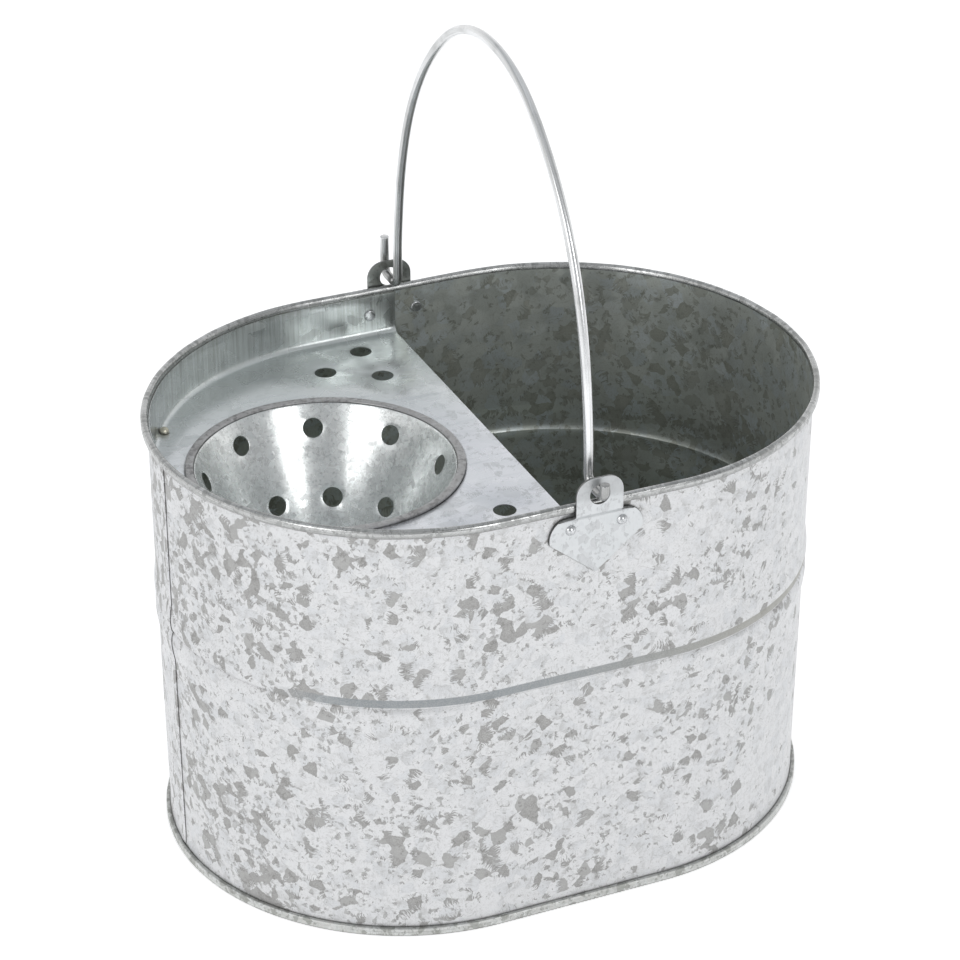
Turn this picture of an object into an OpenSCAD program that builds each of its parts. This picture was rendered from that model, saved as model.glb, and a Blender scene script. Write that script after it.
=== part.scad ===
// Oval galvanised bucket with a fixed perforated cone in one half and a wire bail.
// X runs along the length, Y across, Z up; the origin is the middle of the base ring.

/* [Body] */
// Overall length across the rim
body_length = 362; // [350:1:380]
// Overall width across the rim
body_width = 268; // [260:1:276]
// Height from the base ring to the top of the rim
body_height = 243; // [235:1:255]
// How far the wall leans in between the rim and the base
wall_taper = 2.4; // [1:0.1:5]
// Thickness of the galvanised sheet
sheet = 0.7; // [0.6:0.05:0.8]

/* [Rim and beads] */
// Width of the wired edge
rim_width = 3.8; // [3.6:0.1:4.4]
// Height of the wired edge
rim_height = 5.1; // [4.8:0.1:6]
// Height of the valley between the two stiffening beads
bead_valley = 138.5; // [120:0.5:150]
// Height of each bead
bead_height = 17; // [12:0.5:20]
// How far a bead stands out of the wall
bead_depth = 1.3; // [0.6:0.1:2]
// Width of the lock seam up the end of the body
seam_width = 6; // [4:0.5:8]
// Height of the double seam round the base
chime_height = 4.6; // [4.4:0.1:5.5]

/* [Wringer] */
// Height of the deck's top face
deck_top = 216; // [205:1:222]
// How far the deck's free edge lies past the middle
deck_reach = 3.5; // [0:0.5:8]
// Diameter of the cone's lip
lip_diameter = 145; // [140:1:150]
// Place of the cone's axis along the length, from the middle
cone_offset = 89; // [88:0.5:93]
// Angle between the cone's axis and its side
cone_angle = 27; // [25:0.5:29]
// Depth from the lip to the floor of the cone
cone_depth = 96; // [85:1:105]
// Holes in each row round the cone
cone_holes = 9; // [7:1:10]
// Diameter of the holes in the cone
cone_hole_diameter = 10.5; // [7:0.5:11]
// Diameter of the drain holes in the deck
drain_diameter = 12; // [8:0.5:14]

/* [Bail and lugs] */
// Diameter of the bail wire
wire_diameter = 5; // [4:0.1:5.4]
// Radius of the bail's crown
crown_radius = 88; // [86:0.5:89]
// Radius of the bail's shoulders
shoulder_radius = 160; // [155:0.5:161]
// Radius of the bail's legs
leg_radius = 290; // [280:1:300]
// Height of the pivot above the rim
pivot_rise = 4; // [3.6:0.1:5]
// Place of the lugs along the length, from the middle
lug_offset = 2.5; // [0:0.5:5]
// Thickness of a lug
lug_sheet = 1.2; // [1:0.1:1.5]
// Width of a lug's riveted plate
lug_width = 51; // [46:1:56]
// Distance between the two rivets of a lug
rivet_spacing = 28; // [24:1:30]

/* [Hidden] */
$fn = 96;
gap = 0.1;                                   // play between parts that lie on each other
cut = 1;                                     // how far a cutting shape runs past a face

// Outline of the rim: two half circles, as wide as the bucket, joined by straight sides
half_width = body_width / 2;
end_centre = body_length / 2 - half_width;

// Wall, given as how far each height lies inside the rim's outer line
wall_step = 1;                               // height between the points on a bead
flare_height = 12;                           // the wall turns out a little below this
flare_depth = 0.6;
wall_top = body_height - rim_height + rim_width / 2;
wall_foot = 2 * (sheet + gap);
wall_zs = concat([wall_foot, flare_height / 2, flare_height],
    [for (z = [bead_valley - bead_height:wall_step:bead_valley + bead_height]) z],
    [wall_top]);
roll_steps = 10;
seam_top = body_height - rim_height - 1;       // the lock seam ends just under the wired edge
curl_end = 120;                              // the curl's free end stops short of the wall
end_steps = 8;
wire_play = 0.15;
foot_flange = 1.3;                           // the wall's foot turns out this far
bore_length = 20;                            // longer than any wall or lug that is bored

// Wringer
sheet_slant = sheet / cos(cone_angle);
lip_height = 1.6;
lip_width = 4.4;
lip_top = deck_top + lip_height;
mouth_radius = lip_diameter / 2 - lip_width;
floor_height = lip_top - cone_depth;
floor_radius = cone_radius(floor_height);
floor_ledge = 4;
floor_drain = 6;                             // diameter of each hole in the cone's floor
floor_drains = 5;                            // holes round the one in the middle
floor_drain_ring = 0.6;                      // their ring, as a share of the disc's radius
ledge_step = 0.4;
lip_break = 0.3;
deck_band = 24;                              // width of the strip along the wall
deck_bend = 3.5;
deck_lip = 6;                                // the free edge is turned down this far
flange_top = body_height - 3.5;
drain_inset = 24;
drain_spread = 27;
drain_pairs = [[0, 112.4], [drain_spread, 96.7], [0, 80.8]];
cone_rows = [[12.8, 35], [46, 25], [79.5, 15]];  // depth below the lip, turn of the first hole

// Lugs, seen along Y with x measured from the lug's middle
pivot_height = body_height + pivot_rise;
lobe_radius = 11.5;
lobe_height = 224;
tip_radius = 2;
tip_height = 203.5;
lug_top = lobe_height + lobe_radius;
lug_face = half_width - wall_inset(lug_top) + gap / 2;
lug_step = 3.6;                              // height over which the ear steps out over the rim
lug_step_drop = 0.4;                         // the outer face bends this much lower
ear_face = half_width + 3 * gap;
ear_width = 25.5;
ear_corner = 9;
ear_top = pivot_height + 9.5;
ear_hole = 11;
rivet_height = 228;
rivet_shank = 3;
rivet_head = 5.6;
rivet_tail = 5;
dome_height = 1.9;
tail_height = 1;
arc_steps = 12;

// Bail: crown, shoulders and legs are arcs that meet where the wire's direction is a unit
// vector with round numbers, so that each joint is one plane through both arcs' centres
crown_end = [0.6, 0.8];
shoulder_end = [0.96, 0.28];
foot_bend = 6;
hook_bend = 4.5;
bail_reach = crown_radius * crown_end[0] + shoulder_radius * (shoulder_end[0] - crown_end[0])
    + leg_radius * (1 - shoulder_end[0]);
bail_rise = foot_bend + crown_radius * (1 - crown_end[1])
    + shoulder_radius * (crown_end[1] - shoulder_end[1]) + leg_radius * shoulder_end[1];
crown_centre = [0, bail_rise - crown_radius];
shoulder_centre = crown_centre + (crown_radius - shoulder_radius) * crown_end;
leg_centre = shoulder_centre + (shoulder_radius - leg_radius) * shoulder_end;
hook_reach = 140.5;
front_hook = 8;
back_hook = 22;

function bead(z) = let (t = abs(z - bead_valley) / bead_height)
    t < 1 ? bead_depth * sin(180 * pow(t, 0.7)) : 0;
function flare(z) = z < flare_height ? flare_depth * (1 - z / flare_height) : 0;
function wall_inset(z) = rim_width - sheet + wall_taper * (1 - z / body_height)
    - bead(z) - flare(z);
function cone_radius(z) = mouth_radius - (lip_top - z) * tan(cone_angle);
function arc_points(centre, r, from, to, n) = [for (i = [0:n])
    centre + r * [cos(from + (to - from) * i / n), sin(from + (to - from) * i / n)]];

// Points along one end of the oval, at a distance inside the rim's outer line
function end_points(inset, side) = [for (i = [-end_steps:end_steps])
    let (a = i * 90 / end_steps, r = half_width - inset)
    [side * (end_centre + r * cos(a)), side * r * sin(a)]];

// Carries a flat profile round one end; the profile's x is 0 on the rim's outer line
module round_the_end(turn) {
    rotate([0, 0, turn]) translate([end_centre, 0, 0]) rotate([0, 0, -90])
        rotate_extrude(angle = 180) translate([half_width, 0]) children();
}

// Carries the same profile along both straight sides, from one place along X to another
module along_the_sides(from, to) {
    translate([from, half_width, 0]) rotate([90, 0, 90])
        linear_extrude(to - from) children();
    translate([from, -half_width, 0]) mirror([0, 1, 0]) rotate([90, 0, 90])
        linear_extrude(to - from) children();
}

module round_the_oval() {
    round_the_end(0) children();
    round_the_end(180) children();
    along_the_sides(-end_centre, end_centre) children();
}

// The -X half only, as far as the deck reaches
module round_the_half() {
    round_the_end(180) children();
    along_the_sides(-end_centre, deck_reach) children();
}

// Section of the wired edge: the wall's sheet curled outwards over a wire, from the wall's
// outer face round to the free end, then back over the top to the wall's inner face
function curl_points() = let (
        mid = -rim_width / 2,
        high = body_height - rim_width / 2,
        inner = rim_width / 2 - sheet,
        outer = rim_width / 2)
    concat(arc_points([mid, high], inner, 180, 0, roll_steps),
        arc_points([mid, wall_top], inner, 0, -curl_end, roll_steps),
        arc_points([mid, wall_top], outer, -curl_end, 0, roll_steps),
        arc_points([mid, high], outer, 0, 180, roll_steps));

module wall_profile() {
    foot_in = wall_inset(wall_foot) + sheet;
    hook_out = wall_inset(wall_foot) - foot_flange;
    hook_top = chime_height - sheet - 2 * gap;
    polygon(concat(
        [for (z = wall_zs) [-wall_inset(z), z]],
        curl_points(),
        [for (i = [len(wall_zs) - 1:-1:0]) [-wall_inset(wall_zs[i]) - sheet, wall_zs[i]]],
        [[-foot_in, sheet + gap], [-hook_out, sheet + gap], [-hook_out, hook_top],
            [-hook_out - sheet, hook_top], [-hook_out - sheet, wall_foot]]));
}

module rivet_holes(side) {
    for (s = [-1, 1])
        translate([lug_offset + s * rivet_spacing / 2, side * half_width, rivet_height])
            rotate([90, 0, 0]) cylinder(d = rivet_shank + gap, h = bore_length, center = true);
}

module body_shell() {
    color("gainsboro")
    difference() {
        union() {
            round_the_oval() wall_profile();
            side_seam();
        }
        rivet_holes(1);
        rivet_holes(-1);
    }
}

// Folded lock seam that closes the sheet at the -X end
module side_seam() {
    seam_turn = seam_width / half_width * 180 / PI;
    seam_zs = [for (z = wall_zs) z > chime_height ? min(z, seam_top) : chime_height + 1];
    translate([-end_centre, 0, 0]) rotate([0, 0, 180 - seam_turn / 2])
        rotate_extrude(angle = seam_turn) translate([half_width, 0])
            polygon(concat(
                [for (z = seam_zs) [-wall_inset(z) + sheet, z]],
                [for (i = [len(seam_zs) - 1:-1:0]) [-wall_inset(seam_zs[i]) - sheet / 2, seam_zs[i]]]));
}

module rim_wire() {
    color("darkgray")
    round_the_oval()
        translate([-rim_width / 2, body_height - rim_height / 2])
            circle(d = rim_width - 2 * sheet - 2 * wire_play, $fn = 32);
}

// Bottom panel, set up inside the base ring, with its edge wrapped round the wall's flange
module base_pan() {
    foot = wall_inset(wall_foot) + sheet + gap;
    hook_out = wall_inset(wall_foot) - foot_flange;
    outer = hook_out - gap - sheet;
    hem_in = wall_inset(chime_height) - gap;
    panel_z = chime_height - sheet;
    panel_in = deck_band;
    color("silver")
    union() {
        round_the_oval() polygon([[-panel_in, chime_height], [-foot, chime_height],
            [-foot, sheet], [-hook_out + gap, sheet], [-hook_out + gap, panel_z],
            [-hem_in, panel_z], [-hem_in, chime_height], [-outer, chime_height], [-outer, 0],
            [-foot - sheet, 0], [-foot - sheet, panel_z], [-panel_in, panel_z]]);
        translate([0, 0, panel_z]) linear_extrude(sheet)
            polygon(concat(end_points(panel_in / 2, 1), end_points(panel_in / 2, -1)));
    }
}

// Section of the deck's edge: a strip of the plate, a bend and the flange up the wall
module deck_profile() {
    face = wall_inset(deck_top) + sheet + gap;
    face_top = wall_inset(flange_top) + sheet + gap;
    bend_centre = [-face - sheet - deck_bend, deck_top + deck_bend];
    polygon(concat([[-deck_band, deck_top - sheet]],
        arc_points(bend_centre, deck_bend + sheet, 270, 360, arc_steps),
        [[-face_top, flange_top], [-face_top - sheet, flange_top]],
        arc_points(bend_centre, deck_bend, 360, 270, arc_steps),
        [[-deck_band, deck_top]]));
}

module wringer_deck() {
    inset = deck_band / 2;
    lip_half = half_width - wall_inset(deck_top) - 3 * sheet - deck_bend;
    color("lightsteelblue")
    difference() {
        union() {
            round_the_half() deck_profile();
            translate([0, 0, deck_top - sheet]) linear_extrude(sheet)
                polygon(concat([[deck_reach, half_width - inset]], end_points(inset, -1),
                    [[deck_reach, inset - half_width]]));
            translate([deck_reach - sheet, -lip_half, deck_top - deck_lip])
                cube([sheet, 2 * lip_half, deck_lip - sheet / 2]);
        }
        translate([-cone_offset, 0, deck_top - sheet - cut])
            cylinder(r = cone_radius(deck_top) + sheet_slant + 4 * gap, h = sheet + 2 * cut);
        for (side = [-1, 1], at = drain_pairs)
            translate([-drain_inset - at[0], side * at[1], deck_top - sheet - cut])
                cylinder(d = drain_diameter, h = sheet + 2 * cut);
        rivet_holes(1);
        rivet_holes(-1);
    }
}

// Perforated cone: a flat lip on the deck, a straight side and a ledge for its floor
module wringer_cone() {
    shoulder = cone_radius(deck_top) + sheet_slant;
    outer = lip_diameter / 2;
    color("whitesmoke")
    difference() {
        translate([-cone_offset, 0, 0]) rotate_extrude() polygon([
            [floor_radius - floor_ledge, floor_height], [floor_radius, floor_height],
            [mouth_radius, lip_top], [outer - lip_break, lip_top], [outer, lip_top - lip_break],
            [outer, deck_top + gap], [shoulder, deck_top + gap],
            [floor_radius + sheet_slant, floor_height],
            [floor_radius + sheet_slant - ledge_step, floor_height - sheet],
            [floor_radius - floor_ledge, floor_height - sheet]]);
        for (row = cone_rows, i = [0:cone_holes - 1])
            translate([-cone_offset, 0, 0]) rotate([0, 0, row[1] + i * 360 / cone_holes])
                translate([cone_radius(lip_top - row[0]), 0, lip_top - row[0]])
                    rotate([0, 90 + cone_angle, 0])
                        cylinder(d = cone_hole_diameter, h = bore_length / 2, center = true);
    }
}

// Disc that closes the foot of the cone, with its own drain holes
module cone_floor() {
    disc = floor_radius - 2 * gap;
    color("silver")
    difference() {
        translate([-cone_offset, 0, floor_height + gap]) cylinder(r = disc, h = sheet);
        translate([-cone_offset, 0, floor_height - cut]) cylinder(d = floor_drain, h = sheet + 3 * cut);
        for (i = [1:floor_drains])
            translate([-cone_offset, 0, floor_height - cut]) rotate([0, 0, i * 360 / floor_drains])
                translate([disc * floor_drain_ring, 0, 0]) cylinder(d = floor_drain, h = sheet + 3 * cut);
    }
}

// Outline of a lug's heart-shaped plate and its ear
module lug_outline() {
    lobe = [lug_width / 2 - lobe_radius, lobe_height];
    run = norm(lobe - [0, tip_height]);
    lean = atan2(lobe[0], lobe_height - tip_height)
        - asin((lobe_radius - tip_radius) / run);
    polygon(concat(
        arc_points([0, tip_height], tip_radius, -90, -90 + 90 - lean, 3),
        arc_points(lobe, lobe_radius, -lean, 90, arc_steps),
        arc_points([-lobe[0], lobe[1]], lobe_radius, 90, 180 + lean, arc_steps),
        arc_points([0, tip_height], tip_radius, 180 + lean, 270, 3)));
    translate([0, lug_top]) polygon(concat([[-ear_width / 2, -lug_sheet], [ear_width / 2, -lug_sheet]],
        arc_points([ear_width / 2 - ear_corner, ear_top - lug_top - ear_corner], ear_corner,
            0, 90, arc_steps),
        arc_points([ear_corner - ear_width / 2, ear_top - lug_top - ear_corner], ear_corner,
            90, 180, arc_steps)));
}

// Riveted plate on the wall, stepped out over the wired edge into the ear that holds the bail
module lug(side) {
    step_low = lug_top - lug_step + lug_sheet + lug_step_drop;
    step_high = step_low + lug_step;
    bottom = tip_height - 2 * tip_radius;
    top = ear_top + cut;
    color("lightsteelblue")
    translate([lug_offset, 0, 0]) mirror([0, side > 0 ? 0 : 1, 0])
    difference() {
        intersection() {
            translate([0, half_width + 3 * lug_sheet, 0]) rotate([90, 0, 0])
                linear_extrude(8 * lug_sheet) lug_outline();
            translate([-lug_width, 0, 0]) rotate([90, 0, 90]) linear_extrude(2 * lug_width)
                polygon([[lug_face, bottom], [lug_face + lug_sheet, bottom],
                    [lug_face + lug_sheet, step_low - lug_step_drop],
                    [ear_face + lug_sheet, step_high - lug_step_drop],
                    [ear_face + lug_sheet, top], [ear_face, top], [ear_face, step_high],
                    [lug_face, step_low]]);
        }
        translate([0, half_width, pivot_height]) rotate([90, 0, 0])
            cylinder(d = ear_hole, h = bore_length, center = true);
        for (s = [-1, 1])
            translate([s * rivet_spacing / 2, half_width, rivet_height]) rotate([90, 0, 0])
                cylinder(d = rivet_shank + gap, h = bore_length, center = true);
    }
}

module front_lug() { lug(-1); }

module back_lug() { lug(1); }

// Rivet with a domed head on the lug and a flat tail inside; through_deck adds the deck's flange
module rivet(side, end, through_deck) {
    head_y = lug_face + lug_sheet + gap / 2;
    wall_y = half_width - wall_inset(rivet_height) - sheet - gap / 2;
    tail_y = wall_y - (through_deck ? sheet + gap : 0);
    dome_radius = (rivet_head * rivet_head / 4 + dome_height * dome_height) / (2 * dome_height);
    color("silver")
    translate([lug_offset + end * rivet_spacing / 2, 0, rivet_height])
    mirror([0, side > 0 ? 0 : 1, 0]) rotate([-90, 0, 0]) {
        translate([0, 0, tail_y - tail_height]) cylinder(d = rivet_tail, h = tail_height);
        translate([0, 0, tail_y - tail_height])
            cylinder(d = rivet_shank, h = head_y - tail_y + tail_height + dome_height / 2);
        intersection() {
            translate([0, 0, head_y + dome_height - dome_radius]) sphere(r = dome_radius);
            translate([0, 0, head_y]) cylinder(d = rivet_head + 2, h = dome_height + cut);
        }
    }
}

module front_left_rivet() { rivet(-1, -1, true); }

module front_right_rivet() { rivet(-1, 1, false); }

module back_left_rivet() { rivet(1, -1, true); }

module back_right_rivet() { rivet(1, 1, false); }

// Small dome of solder in the deck's bend, behind the cone
module deck_solder_tack() {
    tack_turn = 148;
    tack_radius = 2.4;
    reach = half_width - wall_inset(deck_top) - 2 * sheet - tack_radius - 0.75 * deck_bend;
    color("wheat")
    translate([-end_centre, 0, 0]) rotate([0, 0, tack_turn]) translate([reach, 0, deck_top + 2 * gap])
        intersection() {
            sphere(r = tack_radius);
            cylinder(r = tack_radius + cut, h = tack_radius + cut);
        }
}

// One curved stretch of the bail, in the plane across the bucket, between two directions from
// its centre, which is given from the pivot
module wire_arc(centre, r, from, to) {
    far = 2 * r;
    rotate([90, 0, 90]) translate([centre[0], centre[1], 0])
        intersection() {
            rotate_extrude() translate([r, 0]) circle(d = wire_diameter, $fn = 32);
            translate([0, 0, -wire_diameter]) linear_extrude(2 * wire_diameter)
                polygon([[0, 0], far * from, far * (from + to), far * to]);
        }
}

// One straight stretch, from a point along Y or Z
module wire_rod(y, z, length, upright) {
    translate([0, y, z]) rotate([upright ? 0 : -90, 0, 0])
        cylinder(d = wire_diameter, h = length, $fn = 32);
}

// One side of the bail, with the hook that turns up outside its ear
module bail_side(hook) {
    wire_arc(shoulder_centre, shoulder_radius, shoulder_end, crown_end);
    wire_arc(leg_centre, leg_radius, [1, 0], shoulder_end);
    wire_arc([bail_reach + foot_bend, foot_bend], foot_bend, [-1, 0], [0, -1]);
    wire_rod(bail_reach + foot_bend, 0, hook_reach - hook_bend - bail_reach - foot_bend, false);
    wire_arc([hook_reach - hook_bend, hook_bend], hook_bend, [0, -1], [1, 0]);
    wire_rod(hook_reach, hook_bend, hook - hook_bend, true);
}

module bail() {
    color("darkgray")
    translate([lug_offset, 0, pivot_height]) {
        wire_arc(crown_centre, crown_radius, crown_end, [-crown_end[0], crown_end[1]]);
        bail_side(back_hook);
        mirror([0, 1, 0]) bail_side(front_hook);
    }
}

body_shell();
rim_wire();
base_pan();
wringer_deck();
wringer_cone();
cone_floor();
front_lug();
back_lug();
front_left_rivet();
front_right_rivet();
back_left_rivet();
back_right_rivet();
deck_solder_tack();
bail();
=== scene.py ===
import math
import bmesh
import bpy
from mathutils import Matrix, Vector, noise


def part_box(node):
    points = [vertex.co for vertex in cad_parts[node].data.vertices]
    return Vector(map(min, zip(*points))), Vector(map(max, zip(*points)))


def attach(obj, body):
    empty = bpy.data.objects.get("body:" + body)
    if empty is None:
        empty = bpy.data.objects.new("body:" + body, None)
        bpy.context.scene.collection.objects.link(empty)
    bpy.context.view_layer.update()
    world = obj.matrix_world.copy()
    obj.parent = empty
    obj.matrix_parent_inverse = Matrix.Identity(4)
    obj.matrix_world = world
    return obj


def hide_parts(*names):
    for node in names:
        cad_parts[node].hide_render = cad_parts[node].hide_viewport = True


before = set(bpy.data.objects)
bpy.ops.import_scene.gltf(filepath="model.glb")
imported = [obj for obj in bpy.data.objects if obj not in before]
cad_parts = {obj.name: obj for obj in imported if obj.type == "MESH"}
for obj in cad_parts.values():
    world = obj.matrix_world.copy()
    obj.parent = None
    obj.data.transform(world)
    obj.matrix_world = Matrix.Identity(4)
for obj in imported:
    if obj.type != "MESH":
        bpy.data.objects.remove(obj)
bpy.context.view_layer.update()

# Galvanised oval bucket with a punched cone and a wire bail; everything is in metres
scene = bpy.context.scene
mm = 0.001
weld = 0.01 * mm  # points closer than this count as one

# Camera, light and floor
studio = {
    "cameraPlace": (-0.6315, -1.4255, 1.0506),
    "cameraTarget": (0.00585, 0.01763, 0.17665),
    "lens": 126.2,
    "floorColour": (0.90, 0.90, 0.90),
    "floorRough": 0.9,
    "floorGlow": 0.5,
    "floorRadius": 6.0,
    "boxDistance": 2.3,
    "boxTarget": Vector((0, 0, 0.15)),
    "skyTop": (0.62, 0.64, 0.66),
    "skyLow": (1.0, 1.0, 1.0),
    "skyEdge": (0.1, 0.9),
    "skyStrength": 1.0,
    "gapDirection": (0.10, -0.90, 0.42),
    "gapEdge": (0.40, 0.75),
    "gapColour": (0.46, 0.47, 0.48),
}

camera = bpy.data.objects.new("camera", bpy.data.cameras.new("camera"))
scene.collection.objects.link(camera)
camera.location = studio["cameraPlace"]
aim = Vector(studio["cameraTarget"]) - camera.location
camera.rotation_euler = aim.to_track_quat("-Z", "Y").to_euler()
camera.data.lens = studio["lens"]
camera.data.sensor_width = 36
scene.camera = camera
scene.view_settings.view_transform = "Standard"


# Small helpers for nodes and meshes
def addNode(tree, kind, settings, inputs):
    made = tree.nodes.new(kind)
    for key, value in settings.items():
        setattr(made, key, value)
    for key, value in inputs.items():
        if isinstance(value, bpy.types.NodeSocket):
            tree.links.new(value, made.inputs[key])
        else:
            made.inputs[key].default_value = value
    return made


def calc(tree, operation, a, b=0.0, c=0.0, clamp=False):
    settings = {"operation": operation, "use_clamp": clamp}
    return addNode(tree, "ShaderNodeMath", settings, {0: a, 1: b, 2: c}).outputs[0]


def vectorCalc(tree, operation, a, b):
    return addNode(tree, "ShaderNodeVectorMath", {"operation": operation}, {0: a, 1: b}).outputs[0]


def remap(tree, value, fromLow, fromHigh, toLow=0.0, toHigh=1.0):
    inputs = {"Value": value, "From Min": fromLow, "From Max": fromHigh, "To Min": toLow, "To Max": toHigh}
    return addNode(tree, "ShaderNodeMapRange", {"interpolation_type": "SMOOTHSTEP"}, inputs).outputs[0]


def blendColour(tree, share, a, b):
    a, b = (value if isinstance(value, bpy.types.NodeSocket) else (*value, 1.0) for value in (a, b))
    return addNode(tree, "ShaderNodeMix", {"data_type": "RGBA"}, {0: share, 6: a, 7: b}).outputs[2]


def noiseAt(tree, place, scale, detail=2.0, rough=0.5, shift=(0, 0, 0), colour=False):
    moved = vectorCalc(tree, "ADD", place, shift)
    inputs = {"Vector": moved, "Scale": scale, "Detail": detail, "Roughness": rough}
    made = addNode(tree, "ShaderNodeTexNoise", {"noise_dimensions": "3D"}, inputs)
    return made.outputs["Color" if colour else "Fac"]


def newMaterial(name):
    material = bpy.data.materials.new(name)
    material.use_nodes = True
    return material, material.node_tree, material.node_tree.nodes["Principled BSDF"]


def addRelief(tree, shader, strength, depth, height):
    bump = addNode(tree, "ShaderNodeBump", {}, {"Strength": strength, "Distance": depth, "Height": height})
    tree.links.new(bump.outputs[0], shader.inputs["Normal"])


def addPiece(name, bm, body, materials, smoothAngle):
    mesh = bpy.data.meshes.new(name)
    bm.to_mesh(mesh)
    bm.free()
    for material in materials:
        mesh.materials.append(material)
    mesh.shade_smooth()
    mesh.set_sharp_from_angle(angle=math.radians(smoothAngle))
    made = bpy.data.objects.new(name, mesh)
    scene.collection.objects.link(made)
    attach(made, body)
    print(name, len(mesh.polygons), "faces")
    return made


def addThickness(piece, thickness, offset, bevel, segments=2, even=True):
    solid = piece.modifiers.new("thickness", "SOLIDIFY")
    solid.thickness = thickness
    solid.offset = offset
    solid.use_even_offset = even
    edge = piece.modifiers.new("edges", "BEVEL")
    edge.width = bevel
    edge.segments = segments
    edge.limit_method = "ANGLE"
    edge.angle_limit = math.radians(50)
    edge.harden_normals = False


def arc(centre, radius, fromDegrees, toDegrees, steps):
    turns = [math.radians(fromDegrees + (toDegrees - fromDegrees) * i / steps) for i in range(steps + 1)]
    return [(centre[0] + radius * math.cos(t), centre[1] + radius * math.sin(t)) for t in turns]


def clamped(share):
    return min(1, max(0, share))


def onlyVerts(geom):
    return [g for g in geom if isinstance(g, bmesh.types.BMVert)]


def onlyEdges(geom):
    return [g for g in geom if isinstance(g, bmesh.types.BMEdge)]


def notFaces(geom):
    return [g for g in geom if not isinstance(g, bmesh.types.BMFace)]


def drawLine(bm, points, closed):
    verts = [bm.verts.new(p) for p in points]
    pairs = list(zip(verts, verts[1:] + verts[:1])) if closed else list(zip(verts, verts[1:]))
    return verts + [bm.edges.new(pair) for pair in pairs]


def pull(bm, geom, along, steps):
    # extrudes an edge line in equal steps
    for step in range(steps):
        grown = bmesh.ops.extrude_edge_only(bm, edges=onlyEdges(geom))["geom"]
        geom = notFaces(grown)
        bmesh.ops.translate(bm, verts=onlyVerts(geom), vec=Vector(along) / steps)
    return geom


def turn(bm, geom, centre, axis, degrees, steps):
    spun = bmesh.ops.spin(bm, geom=geom, cent=centre, axis=axis, angle=math.radians(degrees), steps=steps,
                          use_merge=False)
    return spun["geom_last"]


def faceTowards(bm, direction):
    # turns an open sheet over if most of it faces the wrong way
    bm.normal_update()
    if sum((f.normal * f.calc_area() for f in bm.faces), Vector()).dot(Vector(direction)) < 0:
        bmesh.ops.reverse_faces(bm, faces=bm.faces)


# Sizes that come from the frame
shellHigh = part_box("body_shell")[1]
halfWidth = shellHigh.y
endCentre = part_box("rim_wire")[1].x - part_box("rim_wire")[1].y
rimTop = shellHigh.z
deckLow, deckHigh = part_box("wringer_deck")
print("half width", halfWidth, "end centre", endCentre, "rim top", rimTop)

shell = {
    "sheet": 0.7 * mm,
    "taper": 2.4 * mm,
    "rimWidth": 3.8 * mm,
    "rimHeight": 5.1 * mm,
    "beadValley": 138.5 * mm,
    "beadHeight": 17 * mm,
    "beadDepth": 1.3 * mm,
    "flareHeight": 12 * mm,
    "flareDepth": 0.6 * mm,
    "foot": 1.6 * mm,
    "endSteps": 150,
    "sideSteps": 32,
    "curlSteps": 7,
    "plainSteps": 12,
    "beadSteps": 26,
    "topSteps": 9,
    "curlTurn": 120,
    "curlMargin": 0.1 * mm,
    "waveDepth": 0.35 * mm,
    "waveLength": 70 * mm,
    "waveFoot": 8 * mm,
    "waveRun": 30 * mm,
    "rimWaveDepth": 0.22 * mm,
    "rimWaveLength": 16 * mm,
    "rimWaveFoot": 225 * mm,
    "rimWaveRun": 12 * mm,
}


def wallInset(z):
    # distance of the wall's outer face inside the rim's outer line
    share = abs(z - shell["beadValley"]) / shell["beadHeight"]
    bead = shell["beadDepth"] * math.sin(math.pi * share ** 0.7) if share < 1 else 0
    flare = shell["flareDepth"] * max(0, 1 - z / shell["flareHeight"])
    return shell["rimWidth"] - shell["sheet"] + shell["taper"] * (1 - z / rimTop) - bead - flare


def roundTheOval(bm, profile, closed):
    # carries a profile of (inset, height) round the whole oval
    geom = drawLine(bm, [(endCentre, inset - halfWidth, z) for inset, z in profile], closed)
    for side in (1, -1):
        geom = turn(bm, geom, (side * endCentre, 0, 0), (0, 0, 1), 180, shell["endSteps"])
        geom = pull(bm, geom, (-side * 2 * endCentre, 0, 0), shell["sideSteps"])
    bmesh.ops.remove_doubles(bm, verts=bm.verts, dist=weld)
    bmesh.ops.recalc_face_normals(bm, faces=bm.faces)


def sheetLength(place, back):
    # distance along the oval's outline, from the seam at the -X end round by the front
    quarter = halfWidth * math.pi / 2
    total = 4 * quarter + 4 * endCentre
    if place.x > endCentre:
        return quarter + 2 * endCentre + halfWidth * math.atan2(place.x - endCentre, -place.y)
    if place.x < -endCentre:
        run = halfWidth * math.atan2(-place.y, -place.x - endCentre)
        return run + total if back else run
    return total - quarter - endCentre - place.x if back else quarter + endCentre + place.x


def layOutSheet(bm):
    # lays the wall out flat as the piece's UV map, in metres
    layer = bm.loops.layers.uv.new("sheet")
    for face in bm.faces:
        back = face.calc_center_median().y > 0
        for loop in face.loops:
            loop[layer].uv = (sheetLength(loop.vert.co, back), loop.vert.co.z)


def outward(place):
    # direction out of the oval, level with the ground
    middle = max(-endCentre, min(endCentre, place.x))
    return Vector((place.x - middle, place.y, 0)).normalized()


def insideBy(place):
    # distance of a point inside the rim's outer line
    middle = max(-endCentre, min(endCentre, place.x))
    return halfWidth - (place - Vector((middle, 0, place.z))).length


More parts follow.
